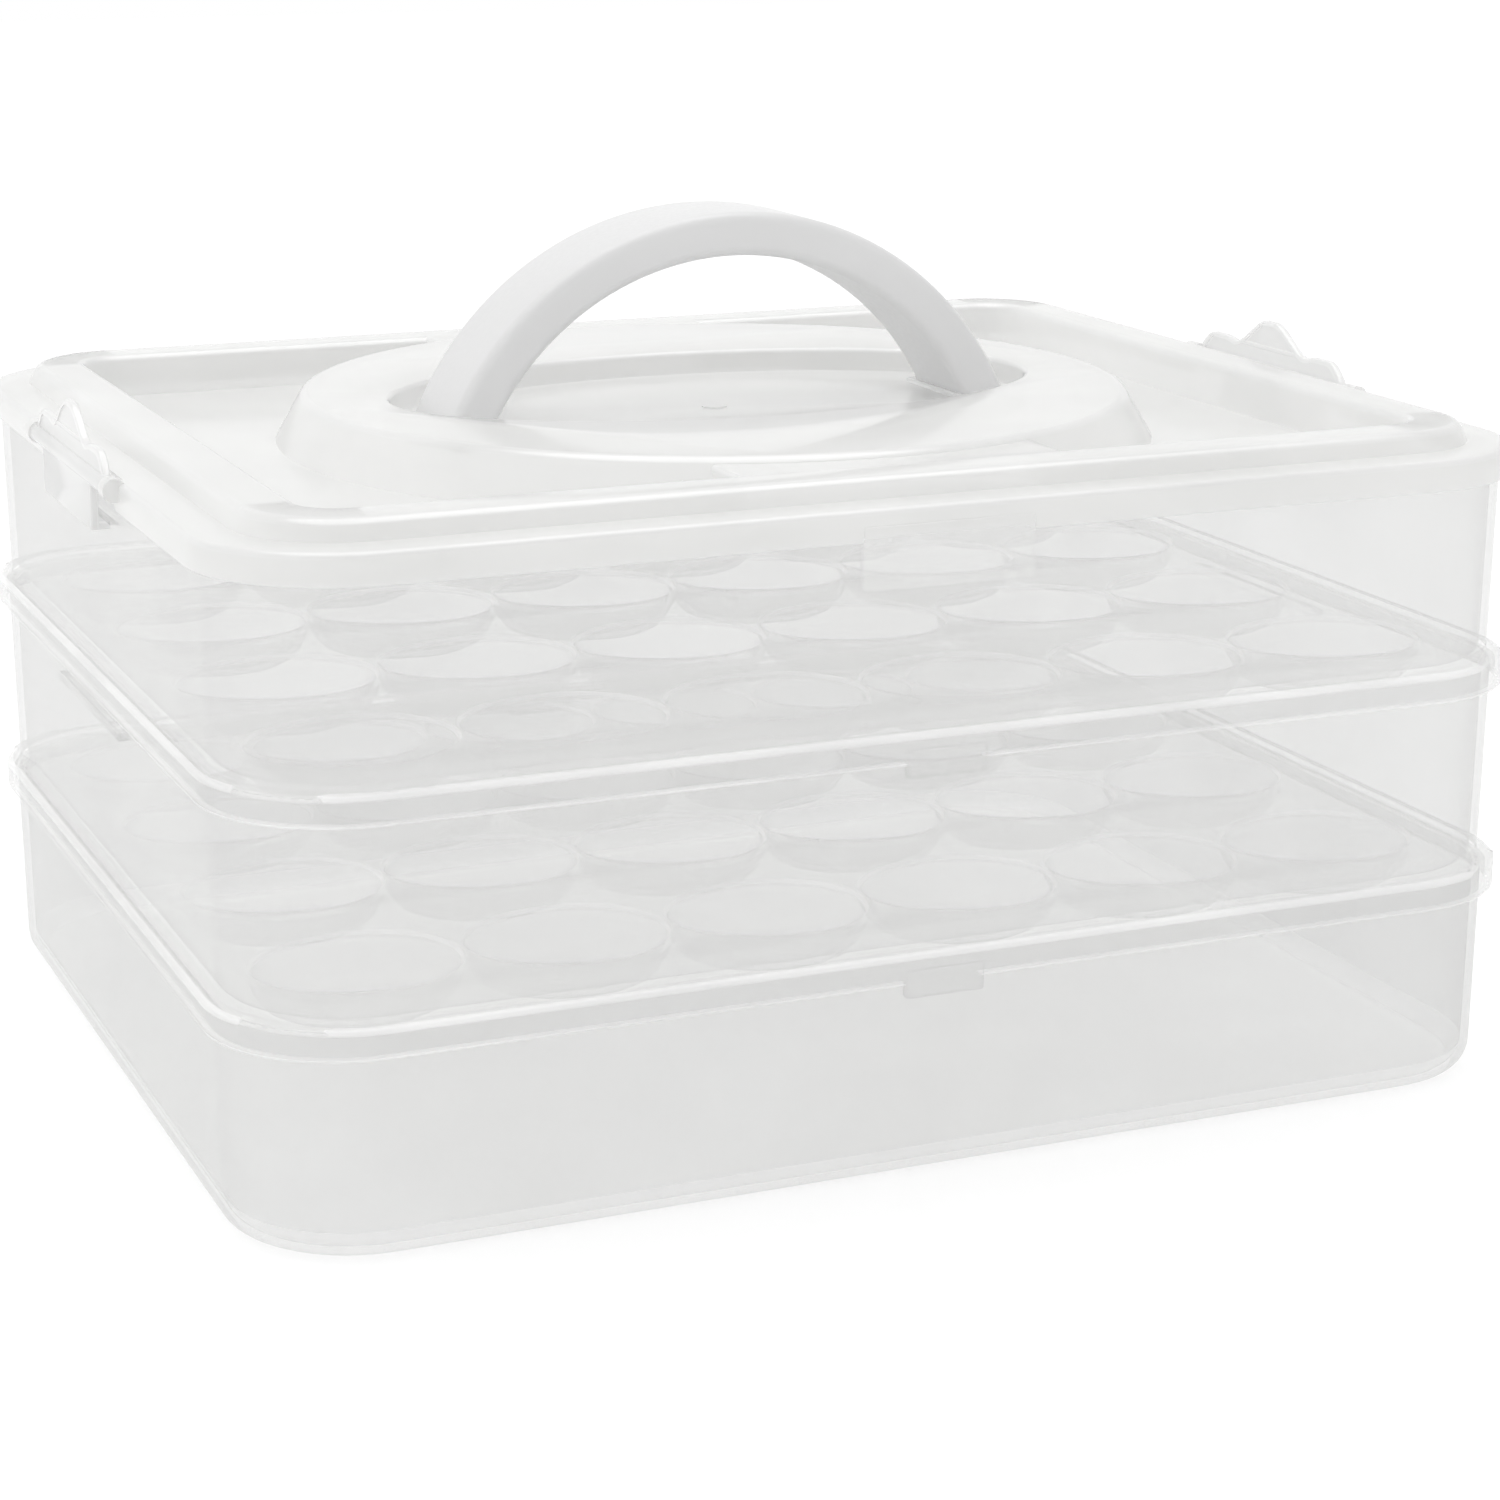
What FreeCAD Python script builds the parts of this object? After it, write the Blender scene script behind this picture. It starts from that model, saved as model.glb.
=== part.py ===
import FreeCAD, Part
import math
import os
from FreeCAD import Vector

# A stacking egg carrier: a deep base box, two trays with egg hollows, and a lid with a
# raised ridge, a round island and an arched carrying handle. Two rocker latches on the
# short sides hold the lid down on the top tray. All sizes are in millimetres, +Z is up,
# and the origin is the middle of the base box's underside.

# Driving dimensions of the boxes
CARRIER_LENGTH = 300.0
CARRIER_WIDTH = 250.0
CORNER_RADIUS = 30.0
WALL = 1.8
FLOOR = 1.8
WALL_LEAN = 0.8
BASE_RIM_HEIGHT = 49.2
BASE_EDGE_RADIUS = 6.0
TRAY_PITCH = 48.0
TRAY_PLACES = ("lower", "upper")

# The skirt by which each tray, and the lid, sits over the rim below it
SKIRT_OVERLAP = 5.2
SKIRT_GAP = 0.35
SKIRT_WALL = 1.8
SKIRT_EDGE = 0.8
LEDGE_EDGE = 1.4

# Egg hollows
HOLLOWS_ALONG = 6
HOLLOWS_ACROSS = 4
HOLLOW_PITCH_X = 46.5
HOLLOW_PITCH_Y = 57.0
HOLLOW_WIDTH = 38.0
HOLLOW_LENGTH = 44.0
HOLLOW_NOSE_RADIUS = 14.0
HOLLOW_DEPTH = 9.0
HOLLOW_SLOPE = 6.5
HOLLOW_WALL = 1.5

# Lift tabs: a small one on each tray's skirt, a wide one on the lid's
TRAY_TAB_WIDTH = 18.0
TRAY_TAB_DROP = 2.6
LID_TAB_WIDTH = 39.0
LID_TAB_DROP = 10.0
TAB_PROUD = 0.9
TAB_OVERLAP = 3.5
TAB_CORNER = 1.2

# Lid
LID_SHEET = 1.6
RIDGE_INSET = 9.5
RIDGE_SLOPE = 2.0
RIDGE_HEIGHT = 4.5
RIDGE_WIDTH = 11.5
RIDGE_EDGE = 1.2
PANEL_DROP = 9.9
PANEL_SLOPE = 3.0
ISLAND_RADIUS = 97.0
ISLAND_SLOPE = 6.0
ISLAND_RISE = 1.4
BRIDGE_WIDTH = 76.0
RECESS_LENGTH = 165.0
RECESS_WIDTH = 101.0
RECESS_END_RADIUS = 36.0
RECESS_DEPTH = 5.9
RECESS_SLOPE = 4.0

# Handle
HANDLE_RISE = 47.5
HANDLE_CROWN_RADIUS = 76.6
HANDLE_WIDTH = 28.0
HANDLE_THICKNESS = 10.2
HANDLE_EDGE = 2.4
TONGUE_THICKNESS = 3.0
TONGUE_WIDTH = 16.0
TONGUE_LENGTH = 5.4
BARB_REACH = 1.2
BARB_HEIGHT = 2.2
SLOT_GAP = 0.3
SLOT_EXTRA = 2.0

# Latches
LATCH_PIVOT_OUT = 0.85
LATCH_PIVOT_DROP = 1.5
BARREL_RADIUS = 2.2
PIN_RADIUS = 1.2
PIN_GAP = 0.05
PIN_LENGTH = 4.0
LUG_RADIUS = 2.6
LUG_WIDTH = 4.5
LATCH_LENGTH = 71.2
LATCH_END_GAP = 0.4
WING_THICKNESS = 1.8
WING_WIDTH = 69.0
WING_HEIGHT = 11.6
SIDE_LOBE_HEIGHT = 5.2
MAIN_LOBE_WIDTH = 32.0
ARM_WIDTH = 48.0
ARM_THICKNESS = 1.8
ARM_OFFSET = 0.9
HOOK_THICKNESS = 1.8
HOOK_GAP = 0.3
HOOK_WALL_GAP = 0.55
CATCH_LENGTH = 60.0
CATCH_REACH = 2.3
CATCH_HEIGHT = 2.2
CATCH_BELOW_RIM = 6.9

# Places worked out from the driving dimensions
SKIRT_OUTER = SKIRT_GAP + SKIRT_WALL
TOP_RIM = BASE_RIM_HEIGHT + len(TRAY_PLACES) * TRAY_PITCH
LEDGE_TOP = TOP_RIM + FLOOR
RIDGE_TOP = LEDGE_TOP + RIDGE_HEIGHT
RIDGE_FOOT = SKIRT_OUTER - RIDGE_INSET
RIDGE_CREST = RIDGE_FOOT - RIDGE_SLOPE
PANEL_MOUTH = RIDGE_CREST - RIDGE_WIDTH
PANEL_TOP = RIDGE_TOP - PANEL_DROP
ISLAND_TOP = RIDGE_TOP + ISLAND_RISE
RECESS_FLOOR = ISLAND_TOP - RECESS_DEPTH
PIVOT_X = CARRIER_LENGTH / 2 + SKIRT_OUTER + LATCH_PIVOT_OUT
PIVOT_Z = LEDGE_TOP - LATCH_PIVOT_DROP
LATCH_BAY = LATCH_LENGTH / 2 + LATCH_END_GAP
HANDLE_CENTRE = RECESS_FLOOR + HANDLE_RISE - HANDLE_CROWN_RADIUS


def foot_reach(radius):
    """How far out an arc of the handle is where it meets the recess floor."""
    return math.sqrt(radius ** 2 - (RECESS_FLOOR - HANDLE_CENTRE) ** 2)


HANDLE_OUTER_FOOT = foot_reach(HANDLE_CROWN_RADIUS)
HANDLE_INNER_FOOT = foot_reach(HANDLE_CROWN_RADIUS - HANDLE_THICKNESS)
TONGUE_MIDDLE = (HANDLE_OUTER_FOOT + HANDLE_INNER_FOOT) / 2


def carrier_path():
    """The carrier's plan outline: four corner arcs as centre, radius, start and sweep."""
    in_x = CARRIER_LENGTH / 2 - CORNER_RADIUS
    in_y = CARRIER_WIDTH / 2 - CORNER_RADIUS
    corners = ((in_x, in_y, 0), (-in_x, in_y, 90), (-in_x, -in_y, 180), (in_x, -in_y, 270))
    return [(x, y, CORNER_RADIUS, start, 90) for x, y, start in corners]


def egg_path(x, y):
    """An egg's plan outline: a blunt half circle, two flanks and a nose to the left."""
    half = HOLLOW_WIDTH / 2
    nose_shift = HOLLOW_LENGTH - half - HOLLOW_NOSE_RADIUS
    flank = (nose_shift ** 2 + half ** 2 - HOLLOW_NOSE_RADIUS ** 2) / (2 * (half - HOLLOW_NOSE_RADIUS))
    turn = math.degrees(math.atan2(nose_shift, flank - half))
    return [
        (x, y, half, -90, 180),
        (x, y - (flank - half), flank, 90, turn),
        (x - nose_shift, y, HOLLOW_NOSE_RADIUS, 90 + turn, 180 - 2 * turn),
        (x, y + (flank - half), flank, 270 - turn, turn),
    ]


def oval_path(half_x, half_y, end_radius):
    """An oval's plan outline: two tight ends and two wide flanks."""
    shift = half_x - end_radius
    flank = (shift ** 2 + half_y ** 2 - end_radius ** 2) / (2 * (half_y - end_radius))
    turn = math.degrees(math.atan2(shift, flank - half_y))
    return [
        (shift, 0, end_radius, turn - 90, 180 - 2 * turn),
        (0, half_y - flank, flank, 90 - turn, 2 * turn),
        (-shift, 0, end_radius, 90 + turn, 180 - 2 * turn),
        (0, flank - half_y, flank, 270 - turn, 2 * turn),
    ]


def polar(centre_x, centre_y, radius, angle, z):
    """The point at a radius and an angle in degrees from a centre."""
    turned = math.radians(angle)
    return Vector(centre_x + radius * math.cos(turned), centre_y + radius * math.sin(turned), z)


def join(edges, target):
    """Adds a straight edge to a target point where there is room for one."""
    reached = edges[-1].Vertexes[-1].Point
    if reached.distanceToPoint(target) > 1e-4:
        edges.append(Part.makeLine(reached, target))


def level_wire(path, grow, z):
    """The plan outline, grown by a margin, as a closed wire at a height."""
    edges = []
    for x, y, radius, start, sweep in path:
        if edges:
            join(edges, polar(x, y, radius + grow, start, z))
        edges.append(Part.makeCircle(radius + grow, Vector(x, y, z), Vector(0, 0, 1), start, start + sweep))
    x, y, radius, start, _ = path[0]
    join(edges, polar(x, y, radius + grow, start, z))
    return Part.Wire(edges)


def profile_edge(place, low, high):
    """One step of a wall's profile: a line, or a quarter arc about the step's bulge point."""
    a = place(low[0], low[1])
    b = place(high[0], high[1])
    if high[2] is None:
        return Part.makeLine(a, b)
    centre = place(*high[2])
    middle = (a + b) * 0.5 - centre
    middle.normalize()
    return Part.Arc(a, centre + middle * (a - centre).Length, b).toShape()


def swept(path, profile):
    """A solid whose wall follows a profile of (grow, z, bulge) steps around a plan outline."""
    faces = []
    for index, (x, y, radius, start, sweep) in enumerate(path):
        end = start + sweep
        next_x, next_y, next_radius, next_start, _ = path[(index + 1) % len(path)]
        run = polar(next_x, next_y, next_radius, next_start, 0) - polar(x, y, radius, end, 0)
        at_start = lambda grow, z: polar(x, y, radius + grow, start, z)
        at_end = lambda grow, z: polar(x, y, radius + grow, end, z)
        for low, high in zip(profile, profile[1:]):
            faces += profile_edge(at_start, low, high).revolve(Vector(x, y, 0), Vector(0, 0, 1), sweep).Faces
            if run.Length > 1e-4:
                faces += profile_edge(at_end, low, high).extrude(run).Faces
    for grow, z, _ in (profile[0], profile[-1]):
        faces.append(Part.Face(level_wire(path, grow, z)))
    shell = Part.makeShell(faces)
    shell.sewShape()
    solid = Part.Solid(shell)
    if solid.Volume < 0:
        solid.reverse()
    return solid


def block(x_low, x_high, y_low, y_high, z_low, z_high):
    """A box between corner values."""
    size = (x_high - x_low, y_high - y_low, z_high - z_low)
    return Part.makeBox(size[0], size[1], size[2], Vector(x_low, y_low, z_low))


def base_box():
    """The deep bottom box, with a rounded lower edge."""
    foot = -WALL_LEAN
    inner_radius = BASE_EDGE_RADIUS - WALL
    outer = swept(carrier_path(), [
        (foot - BASE_EDGE_RADIUS, 0.0, None),
        (foot, BASE_EDGE_RADIUS, (foot - BASE_EDGE_RADIUS, BASE_EDGE_RADIUS)),
        (0.0, BASE_RIM_HEIGHT, None),
    ])
    hollow = swept(carrier_path(), [
        (foot - BASE_EDGE_RADIUS, FLOOR, None),
        (foot - WALL, FLOOR + inner_radius, (foot - BASE_EDGE_RADIUS, BASE_EDGE_RADIUS)),
        (-WALL, BASE_RIM_HEIGHT, None),
    ])
    return outer.cut(hollow)


def skirt_profile(rim_below):
    """The outer profile of a skirt and its ledge, with both edges broken by small bevels."""
    z_low = rim_below - SKIRT_OVERLAP
    ledge = rim_below + FLOOR
    return [
        (SKIRT_OUTER - SKIRT_EDGE, z_low, None),
        (SKIRT_OUTER, z_low + SKIRT_EDGE, None),
        (SKIRT_OUTER, ledge - LEDGE_EDGE, None),
        (SKIRT_OUTER - LEDGE_EDGE, ledge, None),
    ]


def skirt_tabs(width, rim_below, drop):
    """A lift tab under the middle of the skirt, at the front and at the back."""
    z_low = rim_below - SKIRT_OVERLAP - drop
    z_high = rim_below - SKIRT_OVERLAP + TAB_OVERLAP
    inner = CARRIER_WIDTH / 2 + SKIRT_GAP
    outer = CARRIER_WIDTH / 2 + SKIRT_OUTER + TAB_PROUD
    tabs = []
    for side in (-1, 1):
        y_low, y_high = sorted((side * inner, side * outer))
        tab = block(-width / 2, width / 2, y_low, y_high, z_low, z_high)
        corners = [e for e in tab.Edges if e.BoundBox.YLength > 1.0 and e.BoundBox.ZMax < z_low + 0.1]
        tabs.append(tab.makeFillet(TAB_CORNER, corners))
    return tabs


def hollow_centres():
    """The middles of a tray's egg hollows, row by row."""
    shift = (HOLLOW_LENGTH - HOLLOW_WIDTH) / 2
    for row in range(HOLLOWS_ACROSS):
        for column in range(HOLLOWS_ALONG):
            x = (column - (HOLLOWS_ALONG - 1) / 2) * HOLLOW_PITCH_X + shift
            y = (row - (HOLLOWS_ACROSS - 1) / 2) * HOLLOW_PITCH_Y
            yield x, y


def side_catches(rim):
    """The two ribs on the short sides that the latches hook under."""
    ribs = []
    z_high = rim - CATCH_BELOW_RIM
    wall = CARRIER_LENGTH / 2
    for side in (-1, 1):
        x_low, x_high = sorted((side * (wall - WALL / 2), side * (wall + CATCH_REACH)))
        half = CATCH_LENGTH / 2
        rib = block(x_low, x_high, -half, half, z_high - CATCH_HEIGHT, z_high)
        ends = [e for e in rib.Edges if e.BoundBox.ZLength > 1.0 and abs(e.CenterOfMass.x) > wall]
        ribs.append(rib.makeFillet(CATCH_REACH * 0.9, ends))
    return ribs


def egg_tray(rim_below):
    """A tray: a floor with egg hollows, a wall above it and a skirt below it."""
    floor_top = rim_below + FLOOR
    rim = rim_below + TRAY_PITCH
    path = carrier_path()
    outer = swept(path, skirt_profile(rim_below) + [(-WALL_LEAN, floor_top, None), (0.0, rim, None)])
    hollow = swept(path, [(-WALL_LEAN - WALL, floor_top, None), (-WALL, rim, None)])
    below = swept(path, [(SKIRT_GAP, rim_below - SKIRT_OVERLAP, None), (SKIRT_GAP, rim_below, None)])
    solid = outer.cut([hollow, below])
    solid = solid.fuse(skirt_tabs(TRAY_TAB_WIDTH, rim_below, TRAY_TAB_DROP) + side_catches(rim))
    shells = []
    pits = []
    deep = floor_top - HOLLOW_DEPTH
    for x, y in hollow_centres():
        egg = egg_path(x, y)
        shell_foot = (HOLLOW_WALL - HOLLOW_SLOPE, deep - HOLLOW_WALL, None)
        shells.append(swept(egg, [shell_foot, (HOLLOW_WALL, floor_top, None)]))
        pits.append(swept(egg, [(-HOLLOW_SLOPE, deep, None), (0.0, floor_top, None)]))
    return solid.fuse(shells).cut(pits).removeSplitter()


def lid_cover(sheet):
    """The space under the lid's outer face, or under its inner face for a sheet thickness."""
    z_low = TOP_RIM - SKIRT_OVERLAP - 3 * sheet
    ledge = TOP_RIM
    start = [(SKIRT_GAP, z_low, None), (SKIRT_GAP, TOP_RIM, None)]
    if sheet == 0.0:
        ledge = LEDGE_TOP
        start = skirt_profile(TOP_RIM)
    crest = RIDGE_CREST - sheet
    mouth = PANEL_MOUTH + sheet
    top = RIDGE_TOP - sheet
    ridge = [(crest, top, None), (mouth, top, None)]
    if sheet == 0.0:
        low = top - RIDGE_EDGE
        ridge = [
            (crest, low, None),
            (crest - RIDGE_EDGE, top, None),
            (mouth + RIDGE_EDGE, top, None),
            (mouth, low, None),
        ]
    panel = (mouth - PANEL_SLOPE, PANEL_TOP - sheet, None)
    cover = swept(carrier_path(), start + [(RIDGE_FOOT - sheet, ledge, None)] + ridge + [panel])
    half = BRIDGE_WIDTH / 2 - sheet
    reach = CARRIER_WIDTH / 2 + PANEL_MOUTH + RIDGE_WIDTH / 2
    bridge = block(-half, half, -reach, reach, z_low, RIDGE_TOP - sheet)
    cover = cover.fuse([island_block(sheet, z_low), bridge])
    recess = swept(oval_path(RECESS_LENGTH / 2, RECESS_WIDTH / 2, RECESS_END_RADIUS), [
        (sheet - RECESS_SLOPE, RECESS_FLOOR - sheet, None),
        (sheet, ISLAND_TOP + LID_SHEET, None),
    ])
    return cover.cut(recess)


def island_block(sheet, z_low):
    """The round island in the middle of the lid, with its top edge broken by a bevel."""
    top = ISLAND_TOP - sheet
    profile = [(ISLAND_SLOPE - sheet, z_low, None), (-sheet, top, None)]
    if sheet == 0.0:
        low = top - RIDGE_EDGE
        profile = [profile[0], (0.0, low, None), (-RIDGE_EDGE, top, None)]
    return swept([(0, 0, ISLAND_RADIUS, 0, 360)], profile)


def latch_lugs(side):
    """The two eyes of the lid that a latch's pins turn in."""
    lugs = []
    for start in (LATCH_BAY, -LATCH_BAY - LUG_WIDTH):
        origin = Vector(side * PIVOT_X, start, PIVOT_Z)
        lugs.append(Part.makeCylinder(LUG_RADIUS, LUG_WIDTH, origin, Vector(0, 1, 0)))
    return lugs


def lid():
    """The lid: a skirt, a ledge, a ridge, a sunk panel and a round island, all one sheet."""
    z_low = TOP_RIM - SKIRT_OVERLAP
    solid = lid_cover(0.0).cut(lid_cover(LID_SHEET))
    solid = solid.fuse(skirt_tabs(LID_TAB_WIDTH, TOP_RIM, LID_TAB_DROP))
    for side in (-1, 1):
        near = CARRIER_LENGTH / 2 + SKIRT_GAP / 2
        x_low, x_high = sorted((side * near, side * (PIVOT_X + LUG_RADIUS)))
        bay = block(x_low, x_high, -LATCH_BAY, LATCH_BAY, z_low - FLOOR, LEDGE_TOP + FLOOR)
        solid = solid.cut(bay).fuse(latch_lugs(side))
        bore_reach = LATCH_BAY + PIN_LENGTH
        bore_start = Vector(side * PIVOT_X, -bore_reach, PIVOT_Z)
        bore = Part.makeCylinder(PIN_RADIUS + PIN_GAP, 2 * bore_reach, bore_start, Vector(0, 1, 0))
        slot_in = TONGUE_MIDDLE - TONGUE_THICKNESS / 2 - SLOT_EXTRA
        slot_out = TONGUE_MIDDLE + TONGUE_THICKNESS / 2 + SLOT_GAP
        x_low, x_high = sorted((side * slot_in, side * slot_out))
        half = TONGUE_WIDTH / 2 + SLOT_GAP
        slot = block(x_low, x_high, -half, half, RECESS_FLOOR - 2 * LID_SHEET, RECESS_FLOOR + LID_SHEET)
        solid = solid.cut([bore, slot])
    return solid.removeSplitter()


def carry_handle():
    """A wide arched band with a snap tongue under each foot."""
    inner_radius = HANDLE_CROWN_RADIUS - HANDLE_THICKNESS
    origin = Vector(0, -HANDLE_WIDTH / 2, HANDLE_CENTRE)
    band = Part.makeCylinder(HANDLE_CROWN_RADIUS, HANDLE_WIDTH, origin, Vector(0, 1, 0))
    band = band.cut(Part.makeCylinder(inner_radius, HANDLE_WIDTH, origin, Vector(0, 1, 0)))
    rims = [e for e in band.Edges if e.BoundBox.YLength < 1e-4]
    band = band.makeFillet(HANDLE_EDGE, rims)
    reach = 2 * HANDLE_CROWN_RADIUS
    band = band.cut(block(-reach, reach, -reach, reach, HANDLE_CENTRE - reach, RECESS_FLOOR))
    outside = TONGUE_MIDDLE + TONGUE_THICKNESS / 2
    inside = TONGUE_MIDDLE - TONGUE_THICKNESS / 2
    root = RECESS_FLOOR + 1.0
    tip = RECESS_FLOOR - TONGUE_LENGTH
    barb_top = RECESS_FLOOR - LID_SHEET - SLOT_GAP
    corners = (
        (inside, root),
        (inside, tip),
        (outside, tip),
        (outside + BARB_REACH, barb_top - BARB_HEIGHT / 2),
        (outside + BARB_REACH, barb_top),
        (outside, barb_top),
        (outside, root),
    )
    tongues = []
    for side in (-1, 1):
        points = [Vector(side * x, -TONGUE_WIDTH / 2, z) for x, z in corners]
        tongue = Part.Face(Part.makePolygon(points + [points[0]]))
        tongues.append(tongue.extrude(Vector(0, TONGUE_WIDTH, 0)))
    return band.fuse(tongues).removeSplitter()


def wing_outline(x):
    """The three-lobed face of a latch's grip, as a wire in one upright plane."""
    half = WING_WIDTH / 2
    valley = MAIN_LOBE_WIDTH / 2
    side_top = LEDGE_TOP + SIDE_LOBE_HEIGHT
    shoulder = (half + valley) / 2 + valley / 4
    right = [Vector(x, half, LEDGE_TOP), Vector(x, shoulder, side_top), Vector(x, valley, side_top - 0.6)]
    left = [Vector(x, -valley, side_top - 0.6), Vector(x, -shoulder, side_top), Vector(x, -half, LEDGE_TOP)]
    low_right = Vector(x, half, PIVOT_Z)
    low_left = Vector(x, -half, PIVOT_Z)
    edges = [
        Part.makeLine(low_left, low_right),
        Part.makeLine(low_right, right[0]),
        Part.Arc(*right).toShape(),
        Part.Arc(right[2], Vector(x, 0, LEDGE_TOP + WING_HEIGHT), left[0]).toShape(),
        Part.Arc(*left).toShape(),
        Part.makeLine(left[2], low_left),
    ]
    return Part.Wire(edges)


def side_latch(side):
    """A rocker latch: a lobed grip above its pivot, a hooked arm below it."""
    wing_x = PIVOT_X - WING_THICKNESS / 2
    wing = Part.Face(wing_outline(wing_x)).extrude(Vector(WING_THICKNESS, 0, 0))
    axis = Vector(0, 1, 0)
    barrel = Part.makeCylinder(BARREL_RADIUS, LATCH_LENGTH, Vector(PIVOT_X, -LATCH_LENGTH / 2, PIVOT_Z), axis)
    pin_reach = LATCH_LENGTH / 2 + PIN_LENGTH
    pin = Part.makeCylinder(PIN_RADIUS, 2 * pin_reach, Vector(PIVOT_X, -pin_reach, PIVOT_Z), axis)
    arm_low = PIVOT_X - WING_THICKNESS / 2 + ARM_OFFSET
    arm_high = arm_low + ARM_THICKNESS
    hook_top = TOP_RIM - CATCH_BELOW_RIM - CATCH_HEIGHT - HOOK_GAP
    hook_low = hook_top - HOOK_THICKNESS
    half_arm = ARM_WIDTH / 2
    arm = block(arm_low, arm_high, -half_arm, half_arm, hook_low, PIVOT_Z)
    hook_in = CARRIER_LENGTH / 2 + HOOK_WALL_GAP
    hook = block(hook_in, arm_high, -half_arm, half_arm, hook_low, hook_top)
    solid = barrel.fuse([pin, wing, arm, hook]).removeSplitter()
    if side < 0:
        solid = solid.mirror(Vector(0, 0, 0), Vector(1, 0, 0))
    return solid


def save(shape, name):
    """Writes one closed solid to its own file and says what it holds."""
    solid = shape.Solids[0]
    if len(shape.Solids) != 1 or not solid.isValid():
        print("check", name, len(shape.Solids), solid.isValid())
    solid.exportStep(os.path.join("parts", name + ".step"))
    box = solid.BoundBox
    size = [round(v, 2) for v in (box.XMin, box.XMax, box.YMin, box.YMax, box.ZMin, box.ZMax)]
    print(name, "volume", round(solid.Volume), "box", size)


os.makedirs("parts", exist_ok=True)
save(base_box(), "base_box")
for level, place in enumerate(TRAY_PLACES):
    save(egg_tray(BASE_RIM_HEIGHT + level * TRAY_PITCH), "egg_tray_" + place)
save(lid(), "lid")
save(carry_handle(), "carry_handle")
save(side_latch(-1), "side_latch_left")
save(side_latch(1), "side_latch_right")
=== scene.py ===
# %% [markdown]
# A stacking egg carrier in clear, slightly milky plastic. The first cell loads the measured
# frame: seven named nodes with their places, and the bodies that they move with. Every piece
# below is modelled in the same frame, so it goes where the frame says, with no fitting.

# %% The measured frame
import math

import bmesh
import bpy
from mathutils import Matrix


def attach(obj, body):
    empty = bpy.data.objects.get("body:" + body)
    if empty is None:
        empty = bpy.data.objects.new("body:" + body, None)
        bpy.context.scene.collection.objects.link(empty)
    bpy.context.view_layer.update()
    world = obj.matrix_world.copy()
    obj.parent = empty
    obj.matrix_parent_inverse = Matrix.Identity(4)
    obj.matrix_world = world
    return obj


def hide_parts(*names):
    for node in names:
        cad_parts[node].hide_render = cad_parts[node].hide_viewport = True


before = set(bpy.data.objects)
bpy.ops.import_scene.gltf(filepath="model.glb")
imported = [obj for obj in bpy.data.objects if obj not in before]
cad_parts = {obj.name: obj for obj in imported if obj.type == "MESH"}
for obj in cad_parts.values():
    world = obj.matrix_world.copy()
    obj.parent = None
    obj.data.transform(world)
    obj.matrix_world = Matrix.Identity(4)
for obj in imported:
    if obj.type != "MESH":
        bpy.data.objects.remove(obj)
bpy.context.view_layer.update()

bpy.ops.object.select_all(action="DESELECT")

# %% [markdown]
# Blender works in metres and the carrier is a matter of millimetres, so one value turns the
# one into the other. The sizes that several pieces share come next: the plan outline of the
# boxes, the levels of the rims and ledges, and the skirt by which each tier grips the one below.
# The walls lean inward toward the floor, as they must to leave a mould.

# %% Shared sizes
mm = 0.001
half_length = 150 * mm
half_width = 125 * mm
corner_radius = 30 * mm
corner_steps = 16
wall = 1.8 * mm
lean = 0.8 * mm
lean_x = (half_length - lean) / half_length
lean_y = (half_width - lean) / half_width
base_rim = 49.2 * mm
tier_pitch = 48 * mm
ledge_thickness = 1.8 * mm
ledge_rounding = 1.3 * mm
rim_rounding = 0.6 * mm
skirt_drop = 5.2 * mm
skirt_gap = 0.35 * mm
skirt_proud = 2.15 * mm
top_rim = base_rim + 2 * tier_pitch
ledge_top = top_rim + ledge_thickness
print("rims at", [round(z / mm, 1) for z in (base_rim, base_rim + tier_pitch, top_rim)])

# %% [markdown]
# Most of the carrier is modelled the way one would by hand: a flat outline is drawn, pulled up
# or down, and made wider or narrower on the way. The first helpers hold the steps that come
# back for every piece. Picking by place, not by number, still finds the right faces when a
# rounding gets more steps.

# %% Working in edit mode
def choose(piece):
    """Makes one object the only selected one and the active one."""
    if bpy.context.object and bpy.context.object.mode == "EDIT":
        bpy.ops.object.mode_set(mode="OBJECT")
    bpy.ops.object.select_all(action="DESELECT")
    piece.select_set(True)
    bpy.context.view_layer.objects.active = piece


def edit(piece):
    """Opens one object in edit mode."""
    choose(piece)
    bpy.ops.object.mode_set(mode="EDIT")


def close(piece):
    """Leaves edit mode and hands the piece back."""
    bpy.ops.object.mode_set(mode="OBJECT")
    return piece


def pick(piece, kind, test):
    """Selects the faces, edges or points of a mesh in edit mode whose place passes a test."""
    bpy.ops.mesh.select_mode(type=kind)
    bpy.ops.mesh.select_all(action="DESELECT")
    mesh = bmesh.from_edit_mesh(piece.data)
    if kind == "FACE":
        chosen = [f for f in mesh.faces if test(f.calc_center_median(), f.normal)]
    elif kind == "EDGE":
        chosen = [e for e in mesh.edges if test(e.verts[0].co, e.verts[1].co)]
    else:
        chosen = [v for v in mesh.verts if test(v.co)]
    for element in chosen:
        element.select_set(True)
    mesh.select_flush_mode()
    bmesh.update_edit_mesh(piece.data)
    return len(chosen)


def pick_all():
    """Selects the whole mesh."""
    bpy.ops.mesh.select_all(action="SELECT")


def pull(height, scale_x=1.0, scale_y=1.0):
    """Extrudes the picked faces or edges upward and scales them in plan."""
    bpy.ops.mesh.extrude_region_move(TRANSFORM_OT_translate={"value": (0, 0, height)})
    if scale_x != 1.0 or scale_y != 1.0:
        bpy.ops.transform.resize(value=(scale_x, scale_y, 1), center_override=(0, 0, 0))


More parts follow.
